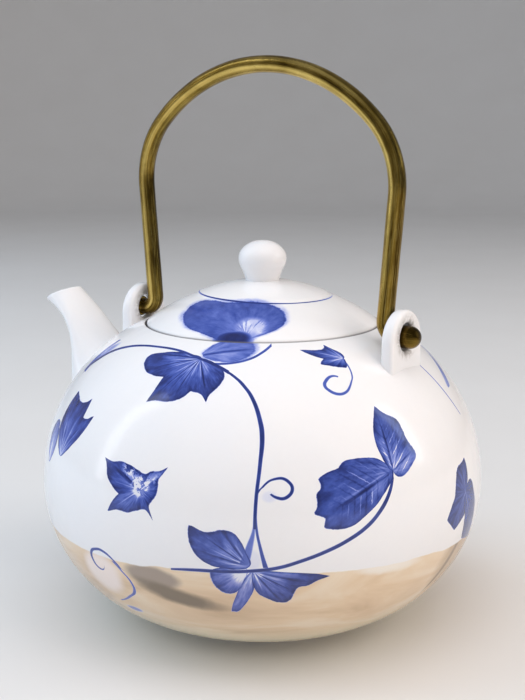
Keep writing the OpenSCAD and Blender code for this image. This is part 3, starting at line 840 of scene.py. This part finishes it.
def rootShare(inward):
    # for each side, the share of the way along at which the spout leaves the body
    t = np.linspace(0, 1, 600)[:, None] * np.ones_like(angle)
    thick = spout["wallRoot"] + (spout["wallLip"] - spout["wallRoot"]) * t
    p, _ = spoutAt(t, angle[None] * np.ones_like(t), thick * inward)
    gap = bodyGap(p[..., 0], p[..., 1], p[..., 2])
    hidden = gap < 0
    last = hidden.shape[0] - 1 - np.argmax(hidden[::-1], axis=0)
    last = np.where(hidden.any(0), last, 0)
    ahead = np.minimum(last + 1, 599)
    col = np.arange(len(angle))
    g0, g1 = gap[last, col], gap[ahead, col]
    part = np.where(g1 > g0, -g0 / (g1 - g0 + 1e-12), 0)
    return (last + np.clip(part, 0, 1)) / 599


def spoutSheet(inward, rows, endShare):
    start = rootShare(inward)
    s = np.linspace(0, 1, rows)[:, None] ** 1.7
    t = start[None] + (endShare - start[None]) * s
    thick = spout["wallRoot"] + (spout["wallLip"] - spout["wallRoot"]) * t
    return t, spoutAt(t, angle[None] * np.ones_like(t), thick * inward)


t, (outer, across) = spoutSheet(0.0, spout["rows"], 0.988)
gap = bodyGap(outer[..., 0], outer[..., 1], outer[..., 2])
along = np.stack([-across[..., 1], np.zeros_like(t), across[..., 0]], -1)
sideways = np.stack([across[..., 0] * np.cos(angle), np.sin(angle) * np.ones_like(t),
                     across[..., 1] * np.cos(angle)], -1)
r = np.hypot(outer[..., 0], outer[..., 1])
wallOut = np.stack([outer[..., 0] / r * (r - shoulderMid), outer[..., 1] / r * (r - shoulderMid),
                    outer[..., 2] - bellyZ], -1)
wallOut /= np.linalg.norm(wallOut, axis=-1)[..., None]
spreadWay = sideways - (sideways * wallOut).sum(-1)[..., None] * wallOut
spreadWay /= np.linalg.norm(spreadWay, axis=-1)[..., None]
# the root widens like a quarter of a circle where the clay was smoothed on to the body
flare = spout["flare"]
near = np.clip(flare - gap, 0, flare)
outer = outer + spreadWay * (flare - np.sqrt(flare ** 2 - near ** 2))[..., None] * 0.8
sunk = outer[0] - wallOut[0] * 1.2
_, (inner, _) = spoutSheet(1.0, 36, 0.988)
lipWall = spout["wallLip"] / 2
lipMid = (outer[-1] + inner[-1]) / 2
lipOut = (outer[-1] - inner[-1]) / 2
lipWay = along[-1] * lipWall
turn = np.linspace(0, np.pi, 8)[1:-1]
lip = lipMid + np.cos(turn)[:, None, None] * lipOut + np.sin(turn)[:, None, None] * lipWay
rings = np.concatenate([sunk[None], outer, lip, inner[::-1], inner[:1] - wallOut[:1] * 1.2])
points = rings.reshape(-1, 3)
faces = [gridFaces(len(rings), spout["sides"], True)]
potSpout = makePiece("potSpout", points, faces, "pot", whiteGlaze)
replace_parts(potSpout, "spout")
print("spout made")

# lugs
lug = {"round": 11.0, "drop": 1.5, "hole": 4.8, "edge": 1.5, "flare": 1.3, "foot": 17.0, "sides": 128}


def makeLug(name, node):
    low, high = boxOf(node)
    middle, half = (low[0] + high[0]) / 2, (high[0] - low[0]) / 2
    a = np.arange(lug["sides"]) * 2 * np.pi / lug["sides"]
    sy, cz = np.sin(a), np.cos(a)
    # how far the plate's edge is from the hole's middle: a round top, straight sides, a level foot
    inset = -lug["drop"] * cz
    top = inset + np.sqrt(np.maximum(inset ** 2 + lug["round"] ** 2 - lug["drop"] ** 2, 0))
    straight = lug["round"] / np.maximum(np.abs(sy), 1e-6)
    below = np.where(cz < 0, lug["foot"] / np.maximum(-cz, 1e-6), 1e6)
    rim = np.where(top * cz > -lug["drop"], top, np.minimum(straight, below))
    e, f = lug["edge"], lug["flare"]
    q = np.linspace(0, np.pi / 2, 7)
    rows = [(lug["hole"] * np.ones_like(a), 0)]
    rows += [(lug["hole"] + f * (1 - np.cos(s)) + 0 * a, half - f * (1 - np.sin(s))) for s in q]
    rows += [((lug["hole"] + f) * (1 - s) + (rim - e) * s, half) for s in (0.3, 0.6, 0.9)]
    rows += [(rim - e + e * np.sin(s), half - e * (1 - np.cos(s))) for s in q]
    rows += [(rim - e + e * np.cos(s), -half + e * (1 - np.sin(s))) for s in q]
    rows += [((lug["hole"] + f) * (1 - s) + (rim - e) * s, -half) for s in (0.9, 0.6, 0.3)]
    rows += [(lug["hole"] + f * (1 - np.sin(s)) + 0 * a, -half + f * (1 - np.cos(s))) for s in q]
    points = np.stack([np.stack([middle + x + 0 * a, rho * sy, pivotZ + rho * cz], -1) for rho, x in rows])
    points = points.reshape(-1, 3)
    # the foot stops 2 mm under the body's surface
    r = np.hypot(points[:, 0], points[:, 1])
    floor = bellyZ + np.sqrt(shoulderArc ** 2 - (r - shoulderMid) ** 2) - 2.0
    points[:, 2] = np.maximum(points[:, 2], floor)
    faces = [gridFaces(len(rows), lug["sides"], True)]
    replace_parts(makePiece(name, points, faces, "pot", lugGlaze), node)


makeLug("spoutSideLug", "spout_side_lug")
makeLug("rearLug", "rear_lug")
print("lugs made")

# lid
disc = {"radius": 24.4, "step": 0.5, "rise": 0.6}
under = lidArc - wall
underEdge = math.sqrt(under ** 2 - (ledge["height"] - lidMidZ) ** 2)
underAngle = math.degrees(math.asin((ledge["height"] - lidMidZ) / under))
domeStart = math.degrees(math.acos((lidR - 1.6) / lidArc))
discAngle = math.degrees(math.acos(disc["radius"] / lidArc))
discTop = arc((0, lidMidZ), lidArc + disc["step"], discAngle + 0.8, 90, 26)
discTop[:, 1] += disc["rise"] * (1 - (discTop[:, 0] / discTop[0, 0]) ** 2)
lidOutline = softened([
    arc((0, lidMidZ), under, 90, underAngle + 1, 30),
    [[underEdge, ledge["height"] + 0.05, 0.4], [lidR, ledge["height"] + 0.05, 0.5], [lidR, lidRimZ, 1.1]],
    arc((0, lidMidZ), lidArc, domeStart, discAngle - 0.5, 34),
    arc((0, lidMidZ), lidArc + disc["step"] * 0.5, discAngle, discAngle, 1),
    arc((0, lidMidZ), lidArc + disc["step"] * 0.92, discAngle + 0.4, discAngle + 0.4, 1),
    discTop,
], 6)
lidOutline[0, 0] = lidOutline[-1, 0] = 0
points, faces = turned(lidOutline, 256)
lidDome = makePiece("lidDome", points, faces, "lid", lidGlaze)
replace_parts(lidDome, "lid_dome")

collar = {"inner": 31.5, "outer": 34.5, "foot": 98.0, "innerTop": 119.6, "outerTop": 118.2, "round": 1.2}
collarOutline = softened([[[collar["inner"], collar["innerTop"], 0],
                           [collar["inner"], collar["foot"], collar["round"]],
                           [collar["outer"], collar["foot"], collar["round"]],
                           [collar["outer"], collar["outerTop"], 0]]], 6)
points, faces = turned(collarOutline, 160)
lidCollar = makePiece("lidCollar", points, faces, "lid", whiteGlaze)
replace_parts(lidCollar, "lid_collar")

# the knob: a slightly flattened ball that narrows to a neck on the dome
knobLine = flowing([(6.5, 126.2), (6.3, 127.4), (6.4, 128.6), (6.9, 130), (7.6, 131.7), (8.5, 133.6),
                    (9.0, 135.8), (8.6, 137.9), (7.2, 139.9), (5.0, 141.5), (2.4, 142.4), (0, 142.6)], 7)
points, faces = turned(np.vstack([[0, 125.6], knobLine]), 128)
lidKnob = makePiece("lidKnob", points, faces, "lid", whiteGlaze)
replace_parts(lidKnob, "lid_knob")
print("lid made")

# bail
bail = {"rod": 3.15, "crown": 65.0, "corner": 33.0, "sweep": 48.5, "leg": 43.5, "lean": 4.5, "elbow": 4.5,
        "end": 62.6, "sides": 40}


def bailLine():
    # the right half from the lug up: stub, elbow, leaning leg, corner, then the crown over the axis
    lean = math.radians(bail["lean"])
    crownHalf = math.radians(90 - bail["sweep"] + bail["lean"])
    cornerX = (bail["crown"] - bail["corner"]) * math.sin(crownHalf)
    elbowX = cornerX + (bail["corner"] + bail["elbow"]) * math.cos(lean) - bail["leg"] * math.sin(lean)
    elbowZ = pivotZ + bail["elbow"]
    cornerZ = elbowZ + (bail["corner"] + bail["elbow"]) * math.sin(lean) + bail["leg"] * math.cos(lean)
    crownZ = cornerZ - (bail["crown"] - bail["corner"]) * math.cos(crownHalf)
    stub = np.column_stack([np.linspace(bail["end"], elbowX, 8)[:-1], np.full(7, pivotZ)])
    elbow = arc((elbowX, elbowZ), bail["elbow"], 270, 180 - bail["lean"], 14)[:, :2]
    foot = elbow[-1]
    share = np.linspace(0, 1, 30)[1:, None]
    leg = foot + share * bail["leg"] * np.array([math.sin(lean), math.cos(lean)])
    corner = arc((cornerX, cornerZ), bail["corner"], -bail["lean"], bail["sweep"] - bail["lean"], 34)[1:, :2]
    crown = arc((0, crownZ), bail["crown"], bail["sweep"] - bail["lean"], 90, 40)[1:, :2]
    half = np.vstack([stub, elbow, leg, corner, crown])
    return np.vstack([half, half[-2::-1] * [-1, 1]])


line = bailLine()
step = np.gradient(line, axis=0)
step /= np.linalg.norm(step, axis=1)[:, None]
length = np.concatenate([[0], np.cumsum(np.linalg.norm(np.diff(line, axis=0), axis=1))])
a = np.arange(bail["sides"] + 1) * 2 * np.pi / bail["sides"]
# a round rod, very slightly uneven as a hand-bent rod is
oval = 0.010 * (1 + np.sin(length[:, None] * 0.11 + 2 * a[None]))
uneven = 1 - oval - 0.006 * (1 + np.sin(length[:, None] * 0.37))
across = np.column_stack([-step[:, 1], step[:, 0]])
radial = bail["rod"] * uneven
points = np.stack([line[:, 0, None] + across[:, 0, None] * radial * np.cos(a),
                   radial * np.sin(a), line[:, 1, None] + across[:, 1, None] * radial * np.cos(a)], -1)
marks = np.stack(np.broadcast_arrays(a[None] / (2 * np.pi), length[:, None]), -1)
rows, cols = points.shape[:2]
row, col = np.meshgrid(np.arange(rows - 1), np.arange(cols - 1), indexing="ij")
base = (row * cols + col).ravel()
sheet = np.column_stack([base, base + 1, base + cols + 1, base + cols])
points, marks = points.reshape(-1, 3), marks.reshape(-1, 2)
ends = [len(points), len(points) + 1]
points = np.vstack([points, [line[0, 0], 0, line[0, 1]], [line[-1, 0], 0, line[-1, 1]]])
marks = np.vstack([marks, [0.5, 0], [0.5, length[-1]]])
side = np.arange(cols - 1)
final = (rows - 1) * cols
capFaces = np.vstack([np.column_stack([np.full(cols - 1, ends[0]), side + 1, side]),
                      np.column_stack([np.full(cols - 1, ends[1]), final + side, final + side + 1])])
bailRod = makePiece("bailRod", points, [sheet, capFaces], "bail", rodBrass, marks)
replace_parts(bailRod, "bail_rod")

cap = {"radius": 4.0, "mid": 62.3, "collar": 3.0}
capOutline = softened([[[0, cap["mid"] - cap["collar"], 0], [cap["radius"], cap["mid"] - cap["collar"], 0.7]],
                       arc((0, cap["mid"]), cap["radius"], 0, 90, 16)], 6)
capOutline[-1, 0] = 0
for name, node, way in (("spoutSideCap", "spout_side_cap", -1), ("rearCap", "rear_cap", 1)):
    points, faces = turned(capOutline, 48)
    points = np.column_stack([way * points[:, 2], way * points[:, 0], points[:, 1]]) + [0, 0, pivotZ]
    turn = np.arctan2(points[:, 1], points[:, 2] - pivotZ)
    marks = np.column_stack([turn / (2 * np.pi) + 0.5, points[:, 0]])
    piece = makePiece(name, points, faces, "bail", capBrass, marks)
    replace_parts(piece, node)
print("bail made")

# floor, light and camera
floorBoard = Board("paleFloor")
spot = floorBoard.place()
floorTone = floorBoard.blend(floorBoard.noise(spot, 0.01, 3.0, 0.5), (0.70, 0.69, 0.68), (0.74, 0.735, 0.73))
floorShader = floorBoard.put("ShaderNodeBsdfPrincipled")
floorBoard.feed(floorShader.inputs["Base Color"], floorTone)
floorShader.inputs["Roughness"].default_value = 0.6
floorMaterial = floorBoard.finish(floorShader)
# a round sheet, level near the pot and curved up into a wall far from it
cove = {"flat": 2000.0, "bend": 900.0, "height": 2600.0, "sides": 160}
coveLine = np.vstack([np.column_stack([np.linspace(20, cove["flat"], 12), np.zeros(12)]),
                      arc((cove["flat"], cove["bend"]), cove["bend"], -90, 0, 24)[1:, :2],
                      [[cove["flat"] + cove["bend"], cove["height"]]]])
angle = np.arange(cove["sides"]) * 2 * np.pi / cove["sides"]
covePoints = np.stack([coveLine[:, :1] * np.cos(angle), coveLine[:, :1] * np.sin(angle),
                       np.repeat(coveLine[:, 1:], cove["sides"], 1)], -1).reshape(-1, 3)
covePoints = np.vstack([covePoints, [0, 0, 0]])
ahead = (np.arange(cove["sides"]) + 1) % cove["sides"]
coveFaces = [gridFaces(len(coveLine), cove["sides"], False),
             np.column_stack([np.full(cove["sides"], len(covePoints) - 1), np.arange(cove["sides"]), ahead])]
floor = makePiece("floor", covePoints, coveFaces, None, floorMaterial)

world = bpy.data.worlds.new("studio")
world.use_nodes = True
world.node_tree.nodes["Background"].inputs["Color"].default_value = (0.93, 0.95, 1.0, 1)
world.node_tree.nodes["Background"].inputs["Strength"].default_value = 0.29
scene.world = world

view = {"azimuth": 35.1, "height": 11.34, "aim": 0.1009, "distance": 0.430, "lens": 58.4, "sensor": 36.0}


def placeAround(thing, azimuth, height, aim, distance):
    # sets a lamp or the camera at a bearing and a height, in degrees, and turns it to the pot
    a, e = math.radians(azimuth), math.radians(height)
    away = np.array([math.sin(a) * math.cos(e), -math.cos(a) * math.cos(e), math.sin(e)])
    thing.location = np.array([0, 0, aim]) + away * distance
    thing.rotation_mode = "QUATERNION"
    thing.rotation_quaternion = Vector(-away).to_track_quat("-Z", "Y")


def softLight(name, azimuth, height, distance, width, tall, power, colour, mirrored):
    # a rectangle of light that faces the middle of the pot; only a mirrored one shows in the glaze
    data = bpy.data.lights.new(name, "AREA")
    data.shape = "RECTANGLE"
    data.size, data.size_y, data.energy, data.color = width, tall, power, colour
    lamp = bpy.data.objects.new(name, data)
    scene.collection.objects.link(lamp)
    lamp.visible_glossy = mirrored
    placeAround(lamp, azimuth, height, 0.08, distance)


softLight("coolWindow", -66, 30, 1.3, 1.2, 1.5, 8.8, (0.52, 0.75, 1.0), False)
softLight("warmFill", 105, 25, 1.3, 1.3, 1.3, 10.2, (1.0, 0.85, 0.73), False)
softLight("overhead", 30, 80, 1.4, 1.5, 1.2, 12, (1.0, 0.96, 0.93), False)
softLight("front", 12, 32, 1.5, 1.2, 1.0, 6.0, (0.95, 0.96, 1.0), False)
softLight("leftStrip", -52, 26, 1.3, 0.16, 1.3, 1.5, (0.90, 0.95, 1.0), True)
softLight("rightStrip", 122, 26, 1.3, 0.18, 0.8, 1.2, (0.86, 0.94, 1.0), True)
scene.view_settings.view_transform = "Standard"

cameraData = bpy.data.cameras.new("camera")
camera = bpy.data.objects.new("camera", cameraData)
scene.collection.objects.link(camera)
placeAround(camera, view["azimuth"], view["height"], view["aim"], view["distance"])
cameraData.lens = view["lens"]
cameraData.sensor_width = view["sensor"]
cameraData.clip_start, cameraData.clip_end = 0.01, 20.0
scene.camera = camera
print("stage made")
